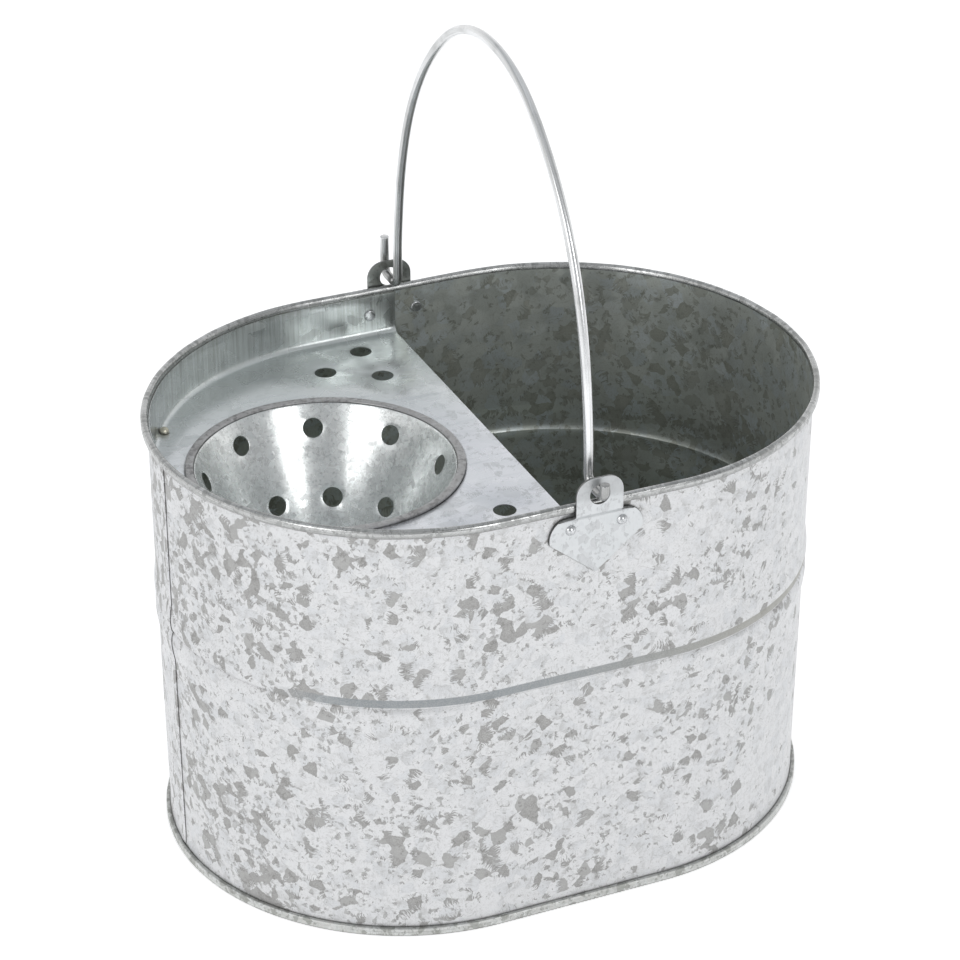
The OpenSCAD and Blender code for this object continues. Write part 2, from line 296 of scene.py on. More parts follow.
def wallWave(place):
    # hand-made sheet is never quite true: a slow wave over the wall and small nicks along the rim
    settled = clamped((place.z - shell["waveFoot"]) / shell["waveRun"])
    near = clamped((place.z - shell["rimWaveFoot"]) / shell["rimWaveRun"])
    wave = noise.noise(place / shell["waveLength"]) * shell["waveDepth"]
    nick = noise.noise(Vector((place.x, place.y, 0)) / shell["rimWaveLength"]) * shell["rimWaveDepth"]
    return outward(place) * (wave * settled * (1 - near) + nick * near)


# Galvanised finishes: colours, size of the crystals, and from which random value on one is a dark flake
zinc = {
    "wall": {"light": (0.665, 0.667, 0.675), "tint": (0.62, 0.628, 0.642), "flake": (0.285, 0.28, 0.27),
             "softFlake": (0.42, 0.417, 0.41), "size": 6.6 * mm, "share": 0.845, "fineShare": 0.91,
             "facet": 0.6, "rough": 0.42, "metal": 0.55, "lines": 0.6, "bump": 0.35,
             "drift": 0.09, "thickEnd": (-0.09, -0.17), "thinEnd": (0.0, 0.12)},
    "inside": {"light": (0.69, 0.72, 0.68), "tint": (0.74, 0.79, 0.80), "flake": (0.44, 0.445, 0.39),
               "softFlake": (0.56, 0.58, 0.53), "size": 8 * mm, "share": 0.80, "fineShare": 0.80,
               "facet": 0.6, "rough": 0.36, "metal": 0.8, "lines": 0.3, "bump": 0.35},
    "deck": {"light": (0.765, 0.78, 0.82), "tint": (0.735, 0.755, 0.79), "flake": (0.67, 0.69, 0.71),
             "softFlake": (0.71, 0.725, 0.76), "size": 9 * mm, "share": 0.86, "fineShare": 0.9,
             "facet": 0.35, "rough": 0.27, "metal": 0.85, "lines": 0.12, "bump": 0.2},
    "cone": {"light": (0.80, 0.82, 0.815), "tint": (0.775, 0.805, 0.80), "flake": (0.64, 0.655, 0.65),
             "softFlake": (0.72, 0.735, 0.73), "size": 3.0 * mm, "share": 0.84, "fineShare": 0.84,
             "facet": 0.4, "rough": 0.25, "metal": 0.95, "lines": 0.2, "bump": 0.1},
    "lip": {"light": (0.42, 0.415, 0.415), "tint": (0.50, 0.50, 0.505), "flake": (0.22, 0.215, 0.215),
            "softFlake": (0.34, 0.335, 0.335), "size": 2.5 * mm, "share": 0.84, "fineShare": 0.84,
            "facet": 0.6, "rough": 0.38, "metal": 0.8, "lines": 0.4, "bump": 0.3},
    "rim": {"light": (0.54, 0.545, 0.54), "tint": (0.62, 0.625, 0.625), "flake": (0.31, 0.315, 0.31),
            "softFlake": (0.39, 0.395, 0.39), "size": 3 * mm, "share": 0.82, "fineShare": 0.82,
            "facet": 0.5, "rough": 0.26, "metal": 0.95, "lines": 0.3, "bump": 0.3},
    "hem": {"light": (0.56, 0.565, 0.55), "tint": (0.64, 0.65, 0.64), "flake": (0.34, 0.345, 0.32),
            "softFlake": (0.38, 0.385, 0.37), "size": 4 * mm, "share": 0.78, "fineShare": 0.8,
            "facet": 0.5, "rough": 0.36, "metal": 0.85, "lines": 0.3, "bump": 0.35},
    "lug": {"light": (0.62, 0.635, 0.645), "tint": (0.60, 0.62, 0.63), "flake": (0.54, 0.55, 0.56),
            "softFlake": (0.575, 0.585, 0.595), "size": 5 * mm, "share": 0.84, "fineShare": 0.84,
            "facet": 0.5, "rough": 0.36, "metal": 0.75, "lines": 0.4, "bump": 0.25},
    # painted shade: a darker copy of the lug finish for the back lug
    "backLug": {"light": (0.34, 0.355, 0.33), "tint": (0.38, 0.40, 0.385), "flake": (0.25, 0.255, 0.235),
                "softFlake": (0.30, 0.31, 0.29), "size": 4 * mm, "share": 0.84, "fineShare": 0.84,
                "facet": 0.35, "rough": 0.36, "metal": 0.8, "lines": 0.2, "bump": 0.25},
}

# what all of them share; a scale counts per size of the large crystals
crystal = {
    "wander": 0.6,
    "wanderScale": 1.3,
    "streak": (0.8, 8, 0.8),
    "fine": 0.42,
    "fineShift": (0.37, 0.21, 0.13),
    "driftScale": 0.14,
    "grainScale": 9,
    "netScale": 0.9,
    "netShift": (0.05, 0.02, 0.03),
    "largeEdge": 0.07,
    "smallEdge": 0.16,
    "darker": 0.8,
    # colour of the painted shade in corners and gaps between pieces, and how far that shade reaches
    "paintedCornerShade": (0.10, 0.10, 0.095),
    "cornerShadeReach": 1.5 * mm,
    "relief": 0.09 * mm,
}

# marks that only one finish has
wallMarks = {
    # painted shade in the groove between the beads: its extent, and its colour running from left to right
    "groove": ((0.1396, 0.1401), (0.1450, 0.1446), (-0.155, -0.125), (0.168, 0.15)),  # foot, top, left, right
    "shadeRun": (-0.05, 0.12),
    "shadeLeft": (0.24, 0.262, 0.275),
    "shadeRight": (0.30, 0.295, 0.265),
    # painted shade: a dark line on the wall just under the rolled rim
    "creaseShadeDrop": (6.2 * mm, 5.3 * mm),
    "creaseShade": (0.22, 0.22, 0.215),
}
deckMarks = {
    "greenRun": (-0.02, 0.11),
    "green": (0.62, 0.665, 0.645),
    "lineScale": (26, 260, 26),
    "line": (0.50, 0.535, 0.56),
    # painted reflection: upright streaks on the flange, their reach, size and colour
    "flangeReflectionDrop": (24 * mm, 17 * mm),
    "streakScale": (620, 620, 26),
    "rub": (0.36, 0.375, 0.36),
}
lugMarks = {
    # painted shade on the ear under the bail's hook: its rise and colour
    "earShadeRise": 4 * mm,
    "ear": (0.40, 0.41, 0.415),
}
rimMarks = {
    # painted shade on the underside of the rolled rim
    "underDrop": (2.0 * mm, 4.4 * mm),
    "under": (0.28, 0.28, 0.275),
    "streakScale": (30, 2200, 1),
}


def markWall(tree, colour, finish, spots):
    # painted shade: the groove between the beads is painted darker, fading to both sides, and so is the
    # crease under the rim
    x, z = spots["axes"][0], spots["axes"][2]
    foot, top, left, right = wallMarks["groove"]
    level = calc(tree, "MULTIPLY", remap(tree, z, *foot), remap(tree, z, *top))
    ends = calc(tree, "MULTIPLY", remap(tree, x, *left), remap(tree, x, *right))
    shadeRun = remap(tree, x, *wallMarks["shadeRun"])
    shade = blendColour(tree, shadeRun, wallMarks["shadeLeft"], wallMarks["shadeRight"])
    shade = blendColour(tree, calc(tree, "MULTIPLY", spots["mottle"], 0.5), shade, finish["softFlake"])
    # share of the painted groove shade
    groove = calc(tree, "MULTIPLY", calc(tree, "MULTIPLY", level, ends), 0.95)
    colour = blendColour(tree, groove, colour, shade)
    # painted shade under the rim's roll
    low, high = (rimTop - drop for drop in wallMarks["creaseShadeDrop"])
    return blendColour(tree, remap(tree, z, low, high, 0.0, 0.7), colour, wallMarks["creaseShade"])


def markDeck(tree, colour, finish, spots):
    # greener towards the back, lined along it, and painted with upright streaks of reflection on the flange
    green = remap(tree, spots["axes"][1], *deckMarks["greenRun"], 0.0, 0.75)
    colour = blendColour(tree, green, colour, deckMarks["green"])
    lines = noiseAt(tree, vectorCalc(tree, "MULTIPLY", spots["place"], deckMarks["lineScale"]), 1.0, 3, 0.6)
    colour = blendColour(tree, remap(tree, lines, 0.5, 0.75, 0.0, 0.35), colour, deckMarks["line"])
    low, high = (deckHigh.z - drop for drop in deckMarks["flangeReflectionDrop"])
    # painted reflection streaks on the flange
    streakNoise = noiseAt(tree, vectorCalc(tree, "MULTIPLY", spots["place"], deckMarks["streakScale"]), 1.0, 3, 0.6)
    onFlange = remap(tree, spots["axes"][2], low, high)
    paintedReflection = calc(tree, "MULTIPLY", onFlange, remap(tree, streakNoise, 0.36, 0.68, 0.25, 0.8))
    return blendColour(tree, paintedReflection, colour, deckMarks["rub"])


def markLug(tree, colour, finish, spots):
    # painted shade: the ear is painted darker where the bail's hook shades it
    ear = remap(tree, spots["axes"][2], rimTop, rimTop + lugMarks["earShadeRise"], 0.0, 0.6)
    return blendColour(tree, ear, colour, lugMarks["ear"])


def markRim(tree, colour, finish, spots):
    # painted shade underneath, and brushed along its length
    low, high = (rimTop - drop for drop in rimMarks["underDrop"])
    colour = blendColour(tree, remap(tree, spots["axes"][2], low, high, 0.0, 0.75), colour, rimMarks["under"])
    streakNoise = noiseAt(tree, vectorCalc(tree, "MULTIPLY", spots["place"], rimMarks["streakScale"]), 1.0, 3, 0.6)
    return blendColour(tree, remap(tree, streakNoise, 0.42, 0.62, 0.0, 0.7), colour, finish["flake"])


def spangle(tree, place, size, shift):
    # crystals of zinc: random values for each one, streaks in it, a slope across it and the way to its middle
    wander = noiseAt(tree, place, crystal["wanderScale"] / size, 2, 0.5, shift, True)
    wander = vectorCalc(tree, "SUBTRACT", wander, (0.5, 0.5, 0.5))
    wander = vectorCalc(tree, "MULTIPLY", wander, (crystal["wander"] * size,) * 3)
    moved = vectorCalc(tree, "ADD", vectorCalc(tree, "ADD", place, wander), shift)
    cells = addNode(tree, "ShaderNodeTexVoronoi", {}, {"Vector": moved, "Scale": 1 / size})
    parts = addNode(tree, "ShaderNodeSeparateColor", {}, {0: cells.outputs["Color"]}).outputs
    angle = calc(tree, "MULTIPLY", parts[0], 2 * math.pi)
    fromMiddle = vectorCalc(tree, "SUBTRACT", moved, cells.outputs["Position"])
    turned = addNode(tree, "ShaderNodeVectorRotate", {"rotation_type": "Z_AXIS"},
                     {"Vector": fromMiddle, "Angle": angle}).outputs[0]
    slope = addNode(tree, "ShaderNodeSeparateXYZ", {}, {0: turned}).outputs[0]
    slope = calc(tree, "MULTIPLY", slope, 1 / size)
    stretched = vectorCalc(tree, "MULTIPLY", turned, tuple(scale / size for scale in crystal["streak"]))
    streak = noiseAt(tree, vectorCalc(tree, "ADD", stretched, cells.outputs["Color"]), 1.0, 3, 0.6, shift)
    return parts, streak, slope, cells.outputs["Distance"]


def facets(tree, colour, finish, random, streak, slope, edges, contrast):
    # a crystal darkens along its slope, where its streaks let it
    (slopeLow, randomLow), (gain, start) = edges, contrast
    share = calc(tree, "MULTIPLY", remap(tree, slope, slopeLow, 0.5), remap(tree, random, randomLow, 0.8))
    share = calc(tree, "MULTIPLY", share, calc(tree, "MULTIPLY_ADD", streak, gain, start, clamp=True))
    return blendColour(tree, calc(tree, "MULTIPLY", share, finish["facet"]), colour, finish["softFlake"])


def galvanise(name, finish, coordinate="Object", marks=None):
    material, tree, shader = newMaterial(name)
    source = addNode(tree, "ShaderNodeTexCoord", {}, {})
    place = source.outputs[coordinate]
    axes = addNode(tree, "ShaderNodeSeparateXYZ", {}, {0: source.outputs["Object"]}).outputs
    size = finish["size"]
    parts, streak, slope, middle = spangle(tree, place, size, (0, 0, 0))
    fineParts, fineStreak, fineSlope = spangle(tree, place, size * crystal["fine"], crystal["fineShift"])[:3]
    broad = noiseAt(tree, place, crystal["driftScale"] / size, 2, 0.5, (0.9, 0.4, 0.7))
    grain = noiseAt(tree, place, crystal["grainScale"] / size, 2, 0.6, (0.1, 0.3, 0.2))
    mottle = calc(tree, "MULTIPLY_ADD", grain, 3.0, -1.1, clamp=True)

    # large flakes stand in drifts and fade along their slope, small ones lie between them
    drift = calc(tree, "MULTIPLY_ADD", broad, 0.7, -0.35)
    if "drift" in finish:
        drift = calc(tree, "ADD", drift, remap(tree, axes[0], *finish["thickEnd"], 0.0, finish["drift"]))
        drift = calc(tree, "SUBTRACT", drift, remap(tree, axes[0], *finish["thinEnd"], 0.0, finish["drift"]))
    rub = calc(tree, "MULTIPLY_ADD", streak, 0.5, -0.25)
    large = calc(tree, "ADD", rub, calc(tree, "ADD", parts[1], drift))
    large = calc(tree, "MULTIPLY_ADD", slope, 0.16, large)
    large = remap(tree, large, finish["share"], finish["share"] + crystal["largeEdge"])
    rub = calc(tree, "MULTIPLY_ADD", fineStreak, 0.6, -0.3)
    small = calc(tree, "ADD", rub, calc(tree, "ADD", fineParts[1], drift))
    small = calc(tree, "MULTIPLY_ADD", fineSlope, 0.25, small)
    small = remap(tree, small, finish["fineShare"], finish["fineShare"] + crystal["smallEdge"])

    # pale ground of facets, with feathered strokes and a net of fine lines in it
    base = blendColour(tree, remap(tree, parts[2], 0.35, 1.0), finish["light"], finish["tint"])
    base = facets(tree, base, finish, parts[2], streak, slope, (-0.1, 0.3), (3.2, -1.1))
    base = facets(tree, base, finish, fineParts[2], fineStreak, fineSlope, (-0.2, 0.2), (4.0, -1.5))
    feather = remap(tree, parts[0], 0.3, 0.6, 0.0, 0.5)
    feather = calc(tree, "MULTIPLY", remap(tree, streak, 0.56, 0.70), feather)
    base = blendColour(tree, calc(tree, "MULTIPLY", feather, finish["facet"]), base, finish["softFlake"])
    netPlace = vectorCalc(tree, "ADD", place, crystal["netShift"])
    nets = addNode(tree, "ShaderNodeTexVoronoi", {"feature": "DISTANCE_TO_EDGE"},
                   {"Vector": netPlace, "Scale": crystal["netScale"] / size})
    net = remap(tree, nets.outputs["Distance"], 0.0, 0.04, finish["lines"], 0.0)
    net = calc(tree, "MULTIPLY", net, remap(tree, noiseAt(tree, place, 1.1 / size, 2), 0.5, 0.64))
    base = blendColour(tree, net, base, finish["softFlake"])

    # a flake is mottled inside and a little darker towards its edge
    edgeColour = tuple(crystal["darker"] * part for part in finish["flake"])
    deep = blendColour(tree, mottle, finish["flake"], finish["softFlake"])
    deep = blendColour(tree, remap(tree, middle, 0.2, 0.6, 0.0, 0.3), deep, edgeColour)
    deep = blendColour(tree, remap(tree, parts[2], 0.3, 0.9, 0.0, 0.6), deep, finish["softFlake"])
    colour = blendColour(tree, calc(tree, "MULTIPLY", small, 0.55), base, deep)
    colour = blendColour(tree, calc(tree, "MULTIPLY", large, 0.9), colour, deep)
    for mask in (large, small):
        border = calc(tree, "MULTIPLY", mask, calc(tree, "SUBTRACT", 1.0, mask))
        colour = blendColour(tree, calc(tree, "MULTIPLY", border, 3.2), colour, edgeColour)
    hair = remap(tree, fineStreak, 0.55, 0.62, 0.0, 0.5 * finish["facet"])
    colour = blendColour(tree, hair, colour, finish["flake"])
    if marks:
        colour = marks(tree, colour, finish, {"place": place, "axes": axes, "mottle": mottle})

    # painted shade: the colour darkens where one piece meets the next, in the corners and gaps between parts
    corners = addNode(tree, "ShaderNodeAmbientOcclusion", {"samples": 6}, {"Distance": crystal["cornerShadeReach"]})
    cornerShadeShare = remap(tree, corners.outputs["AO"], 0.85, 0.5, 0.0, 0.8)
    colour = blendColour(tree, cornerShadeShare, colour, crystal["paintedCornerShade"])
    tree.links.new(colour, shader.inputs["Base Color"])

    rough = calc(tree, "MULTIPLY_ADD", parts[0], 0.12, finish["rough"] - 0.06)
    rough = calc(tree, "MULTIPLY_ADD", large, 0.06, rough)
    tree.links.new(rough, shader.inputs["Roughness"])
    shader.inputs["Metallic"].default_value = finish["metal"]

    lift = calc(tree, "ADD", calc(tree, "MULTIPLY", streak, 0.4), calc(tree, "MULTIPLY", slope, 0.4))
    lift = calc(tree, "ADD", lift, calc(tree, "MULTIPLY", noiseAt(tree, place, 1 / (3 * size), 1), 2.0))
    addRelief(tree, shader, finish["bump"], crystal["relief"], lift)
    return material


wire = {
    "light": (0.80, 0.805, 0.81),
    "dark": (0.40, 0.405, 0.40),
    "worn": (0.30, 0.30, 0.295),
    "wornRise": (26 * mm, 12 * mm),
    "rough": 0.24,
    "metal": 0.9,
    "lineScale": (1300, 14, 14),
    "relief": 0.05 * mm,
}
fittings = {
    "rivetSteel": {"light": (0.62, 0.63, 0.64), "dark": (0.42, 0.43, 0.44), "rough": 0.25, "scale": 900},
    # painted shade: a dark finish for the lugs' cut edges, drawing the shadowed outline round each lug
    "shadedSheetEdge": {"light": (0.24, 0.245, 0.24), "dark": (0.15, 0.15, 0.15), "rough": 0.4, "scale": 700},
    "solder": {"light": (0.56, 0.54, 0.44), "dark": (0.38, 0.37, 0.31), "rough": 0.32, "scale": 500},
}


def drawnSteel(name, finish):
    # wire drawn through a die: fine lines run along it at the same place across its width
    material, tree, shader = newMaterial(name)
    place = addNode(tree, "ShaderNodeTexCoord", {}, {}).outputs["Object"]
    lines = noiseAt(tree, vectorCalc(tree, "MULTIPLY", place, finish["lineScale"]), 1.0, 3, 0.6)
    patch = noiseAt(tree, place, 60, 2, 0.5, (0.2, 0.1, 0.4))
    share = calc(tree, "ADD", calc(tree, "MULTIPLY", remap(tree, lines, 0.42, 0.68), 0.55),
                 calc(tree, "MULTIPLY", remap(tree, patch, 0.5, 0.75), 0.35), clamp=True)
    colour = blendColour(tree, share, finish["light"], finish["dark"])
    height = addNode(tree, "ShaderNodeSeparateXYZ", {}, {0: place}).outputs[2]
    low, high = (rimTop + rise for rise in finish["wornRise"])
    worn = remap(tree, height, low, high, 0.0, 0.8)
    tree.links.new(blendColour(tree, worn, colour, finish["worn"]), shader.inputs["Base Color"])
    tree.links.new(calc(tree, "MULTIPLY_ADD", lines, 0.2, finish["rough"] - 0.1), shader.inputs["Roughness"])
    shader.inputs["Metallic"].default_value = finish["metal"]
    addRelief(tree, shader, 0.4, finish["relief"], lines)
    return material


def plainMetal(name):
    finish = fittings[name]
    material, tree, shader = newMaterial(name)
    place = addNode(tree, "ShaderNodeTexCoord", {}, {}).outputs["Object"]
    patch = noiseAt(tree, place, finish["scale"], 3, 0.6)
    colour = blendColour(tree, remap(tree, patch, 0.4, 0.7), finish["light"], finish["dark"])
    tree.links.new(colour, shader.inputs["Base Color"])
    tree.links.new(calc(tree, "MULTIPLY_ADD", patch, 0.2, finish["rough"] - 0.1), shader.inputs["Roughness"])
    shader.inputs["Metallic"].default_value = 0.9
    addRelief(tree, shader, 0.4, 0.06 * mm, patch)
    return material


wallZinc = galvanise("galvanisedWall", zinc["wall"], "UV", markWall)
insideZinc = galvanise("galvanisedInside", zinc["inside"], "UV")
rimZinc = galvanise("galvanisedRim", zinc["rim"], "UV", markRim)
deckZinc = galvanise("galvanisedDeck", zinc["deck"], "Object", markDeck)
coneZinc = galvanise("brightCone", zinc["cone"])
lipZinc = galvanise("coneLip", zinc["lip"])
hemZinc = galvanise("galvanisedHem", zinc["hem"])
floorZinc = galvanise("galvanisedFloor", zinc["inside"])
lugZinc = galvanise("galvanisedLug", zinc["lug"], "Object", markLug)
# painted shade: the back lug's finish is a darker copy of the front lug's
shadedBackLugZinc = galvanise("shadedGalvanisedBackLug", zinc["backLug"])
bailSteel = drawnSteel("drawnWire", wire)
rivetSteel = plainMetal("rivetSteel")
shadedSheetEdge = plainMetal("shadedSheetEdge")
solderMetal = plainMetal("solder")
print("finishes made")


# Body: wall with two beads and a wired edge
def between(low, high, steps):
    # even steps from low to high, without low itself
    return [low + (high - low) * i / steps for i in range(1, steps + 1)]


def wallHeights():
    low = [shell["foot"], 4 * mm, 8 * mm, 12 * mm]
    bottom = shell["beadValley"] - shell["beadHeight"]
    top = shell["beadValley"] + shell["beadHeight"]
    wallTop = rimTop - shell["rimHeight"] + shell["rimWidth"] / 2
    plain = between(low[-1], bottom, shell["plainSteps"])
    bead = between(bottom, top, shell["beadSteps"])
    return low + plain + bead + between(top, wallTop, shell["topSteps"])


def wallProfile():
    heights = wallHeights()
    steps = shell["curlSteps"]
    middle = shell["rimWidth"] / 2
    high = rimTop - middle
    inner = middle - shell["sheet"]
    outside = [(wallInset(z), z) for z in heights]
    inside = [(wallInset(z) + shell["sheet"], z) for z in reversed(heights)]
    curl = shell["curlTurn"]
    over = arc((-middle, high), inner, 180, 0, steps) + arc((-middle, heights[-1]), inner, 0, -curl, steps)
    back = arc((-middle, heights[-1]), middle, -curl, 0, steps) + arc((-middle, high), middle, 0, 180, steps)
    return outside + [(-x, z) for x, z in over[1:] + back[:-1]] + inside


bm = bmesh.new()
roundTheOval(bm, wallProfile(), True)
bm.normal_update()
layOutSheet(bm)
curlFoot = rimTop - shell["rimHeight"] + shell["curlMargin"]
curlEdge = shell["rimWidth"] + 2 * shell["curlMargin"]
for face in bm.faces:
    middle = face.calc_center_median()
    if middle.z > curlFoot and insideBy(middle) < curlEdge:
        face.material_index = 2
    elif face.normal.dot(outward(middle)) < 0:
        face.material_index = 1
for vert in bm.verts:
    vert.co += wallWave(vert.co)
bodyWall = addPiece("bodyWall", bm, "bucket", [wallZinc, insideZinc, rimZinc], 40)
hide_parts("body_shell")

# Base: panel inside the foot, its edge folded round the wall
hem = {
    "height": 4.6 * mm,
    "gap": 0.1 * mm,
    "flange": 1.3 * mm,
    "panelIn": 24 * mm,
    "round": 0.6 * mm,
    "groove": 0.18 * mm,
    "grooveHeights": (3 * mm, 2.6 * mm, 2.2 * mm),
    "panelArea": 100 * mm * mm,
}
sheet = shell["sheet"]
footIn = wallInset(shell["foot"]) + sheet + hem["gap"]
hemOut = wallInset(shell["foot"]) - hem["flange"] - hem["gap"] - sheet
hemIn = wallInset(hem["height"]) - hem["gap"]
curve = hem["round"]
grooveTop, grooveMiddle, grooveFoot = hem["grooveHeights"]
profile = [(hem["panelIn"], hem["height"] - sheet), (hem["panelIn"], hem["height"]), (footIn, hem["height"])]
profile += [(footIn, sheet), (hemIn + sheet, sheet), (hemIn, hem["height"] - sheet), (hemIn, hem["height"])]
profile += arc((hemOut + curve, hem["height"] - curve), curve, 90, 180, 4)
profile += [(hemOut, grooveTop), (hemOut + hem["groove"], grooveMiddle), (hemOut, grooveFoot)]
profile += arc((hemOut + curve, curve), curve, 180, 270, 4)
profile += arc((footIn + sheet - curve, curve), curve, 270, 360, 4)
profile += [(footIn + sheet, hem["height"] - sheet)]


def onPanelEdge(vert):
    return abs(insideBy(vert.co) - hem["panelIn"]) < 2 * weld


bm = bmesh.new()
roundTheOval(bm, profile, True)
for height in (hem["height"], hem["height"] - sheet):
    ring = [e for e in bm.edges if all(abs(v.co.z - height) < weld and onPanelEdge(v) for v in e.verts)]
    bmesh.ops.contextual_create(bm, geom=ring)
inner = [f for f in bm.faces if len(f.edges) == 4 and all(onPanelEdge(v) for v in f.verts)]
bmesh.ops.delete(bm, geom=inner, context="FACES")
bmesh.ops.recalc_face_normals(bm, faces=bm.faces)
for face in bm.faces:
    face.material_index = 1 if face.normal.z > 0.9 and face.calc_area() > hem["panelArea"] else 0
basePanel = addPiece("basePanel", bm, "bucket", [hemZinc, floorZinc], 40)
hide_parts("base_pan")

# Lock seam up the -X end
seam = {
    "width": 6 * mm,
    "foot": 5.5 * mm,
    "stand": 0.45 * mm,
    "lift": 0.05 * mm,
    "round": 0.15 * mm,
    "forward": 0.35,
    "steps": 6,
    "top": 236.5 * mm,
}
seamHeights = [seam["foot"]] + [z for z in wallHeights() if seam["foot"] < z < seam["top"]] + [seam["top"]]
seamTurn = math.degrees(seam["width"] / halfWidth)
bm = bmesh.new()
geom = drawLine(bm, [(-endCentre - halfWidth + wallInset(z), 0, z) for z in seamHeights], False)
forward = Matrix.Rotation(math.radians(-seamTurn * seam["forward"]), 3, "Z")
bmesh.ops.rotate(bm, verts=onlyVerts(geom), cent=(-endCentre, 0, 0), matrix=forward)
turn(bm, geom, (-endCentre, 0, 0), (0, 0, 1), seamTurn, seam["steps"])
for vert in bm.verts:
    vert.co += wallWave(vert.co) + outward(vert.co) * seam["lift"]
faceTowards(bm, (-1, 0, 0))
layOutSheet(bm)
sideSeam = addPiece("sideSeam", bm, "bucket", [wallZinc], 40)
addThickness(sideSeam, seam["stand"], 1, seam["round"])

# Deck: plate with drain holes, a flange up the wall and a turned-down free edge
coneLow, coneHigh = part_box("wringer_cone")
coneAxis = ((coneLow.x + coneHigh.x) / 2, (coneLow.y + coneHigh.y) / 2)
lipRadius = (coneHigh.x - coneLow.x) / 2
deck = {
    "lip": 6 * mm,
    "bend": 3.5 * mm,
    "strip": 13 * mm,
    "drain": 6 * mm,
    "drainPlaces": ((-24.0 * mm, 112.4 * mm), (-51.0 * mm, 96.7 * mm), (-24.0 * mm, 80.8 * mm)),
    "coneHole": lipRadius - 3 * mm,
    "gap": 0.1 * mm,
    "flat": 3 * mm,
    "flangeSteps": 4,
    "sideSteps": 16,
    "endSteps": 120,
    "edgeCuts": 11,
    "edgeRound": 0.5 * mm,
    "edgeShort": 0.3 * mm,
    "sheetRound": 0.22 * mm,
    "sag": 0.25 * mm,
    "sagLength": 45 * mm,
    "sagEnd": 8 * mm,
    "flangeRun": 6 * mm,
}
deckTop = deckLow.z + deck["lip"]
deckEdge = deckHigh.x
bm = bmesh.new()
wallFace = wallInset(deckTop) + 2 * sheet + deck["gap"]
flangeFace = wallInset(deckHigh.z) + 2 * sheet + deck["gap"]
bendTop = deckTop + deck["bend"]
steps = deck["flangeSteps"]
profile = [(flangeFace + (wallFace - flangeFace) * i / steps, deckHigh.z + (bendTop - deckHigh.z) * i / steps)
           for i in range(steps)]
profile += arc((wallFace + deck["bend"], bendTop), deck["bend"], 180, 270, 6)
profile += [(wallFace + deck["bend"] + deck["flat"], deckTop), (deck["strip"], deckTop)]
geom = drawLine(bm, [(deckEdge, halfWidth - inset, z) for inset, z in profile], False)
geom = pull(bm, geom, (-deckEdge - endCentre, 0, 0), deck["sideSteps"])
geom = turn(bm, geom, (-endCentre, 0, 0), (0, 0, 1), 180, deck["endSteps"])
geom = pull(bm, geom, (deckEdge + endCentre, 0, 0), deck["sideSteps"])
bmesh.ops.remove_doubles(bm, verts=bm.verts, dist=weld)


def atDeckTop(vert):
    return abs(vert.co.z - deckTop) < weld


def atFreeEdge(vert):
    return vert.co.x > deckEdge - weld


def onStripEdge(vert):
    return abs(halfWidth - abs(vert.co.y) - deck["strip"]) < weld


# the flat of the deck is filled between the strip, the free edge and the holes
free = [e for e in bm.edges if e.is_boundary and all(
    atDeckTop(v) and (not atFreeEdge(v) or onStripEdge(v)) for v in e.verts)]
corners = [v for v in {v for e in free for v in e.verts} if atFreeEdge(v)]
across = bm.edges.new(corners)
cuts = bmesh.ops.subdivide_edges(bm, edges=[across], cuts=deck["edgeCuts"])["geom_split"]
rings = free + onlyEdges(cuts)
circles = [(coneAxis, deck["coneHole"], 96)]
circles += [((x, side * y), deck["drain"], 40) for x, y in deck["drainPlaces"] for side in (1, -1)]
for (x, y), radius, steps in circles:
    place = Matrix.Translation((x, y, deckTop))
    made = bmesh.ops.create_circle(bm, segments=steps, radius=radius, matrix=place)
    rings += list({e for v in made["verts"] for e in v.link_edges})
bmesh.ops.triangle_fill(bm, use_beauty=True, edges=list(set(rings)), normal=(0, 0, 1))
freeEdge = [e for e in bm.edges if e.is_boundary and all(atFreeEdge(v) and atDeckTop(v) for v in e.verts)]
geom = notFaces(bmesh.ops.extrude_edge_only(bm, edges=freeEdge)["geom"])
bmesh.ops.translate(bm, verts=onlyVerts(geom), vec=(0, 0, deck["edgeShort"] - deck["lip"]))
bmesh.ops.recalc_face_normals(bm, faces=bm.faces)
faceTowards(bm, (0, 0, 1))
bmesh.ops.bevel(bm, geom=freeEdge, offset=deck["edgeRound"], segments=3, profile=0.5, affect="EDGES",
                material=-1)
for vert in bm.verts:
    nearWall = clamped((vert.co.z - deckTop) / deck["flangeRun"])
    sag = noise.noise(vert.co / deck["sagLength"]) * deck["sag"] * (1 - nearWall)
    sag = sag if vert.co.x < deckEdge - deck["sagEnd"] else 0
    vert.co += wallWave(vert.co) * nearWall + Vector((0, 0, sag))
deckPlate = addPiece("deckPlate", bm, "bucket", [deckZinc], 40)
addThickness(deckPlate, sheet, -1, deck["sheetRound"], 2, False)
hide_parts("wringer_deck")

# Cone: punched side, a folded lip on the deck
cone = {
    "lipWidth": 4.4 * mm,
    "angle": 27,
    "rows": ((12.8 * mm, 35), (46 * mm, 25), (79.5 * mm, 15)),
    "bands": (1.0 * mm, 29.5 * mm, 63 * mm, 92 * mm),
    "depth": 96 * mm,
    "holes": 9,
    "hole": 5.25 * mm,
    "side": 16,
    "rings": 4,
    "dimple": 0.15 * mm,
    "footBend": 94.5 * mm,
    "footRound": 0.3 * mm,
    "ledge": 4 * mm,
    "sheetRound": 0.3 * mm,
    "plainBorder": 1 * mm,
    "lipRound": 0.9 * mm,
    "lipFoot": 1.2 * mm,
    "lipCrest": 2.6 * mm,
    "lipEdge": 0.6 * mm,
    "lipFall": 0.05 * mm,
    "lipGap": 0.15 * mm,
    "lipWave": 0.1 * mm,
    "lipWaveLength": 14 * mm,
}
lipTop = coneHigh.z
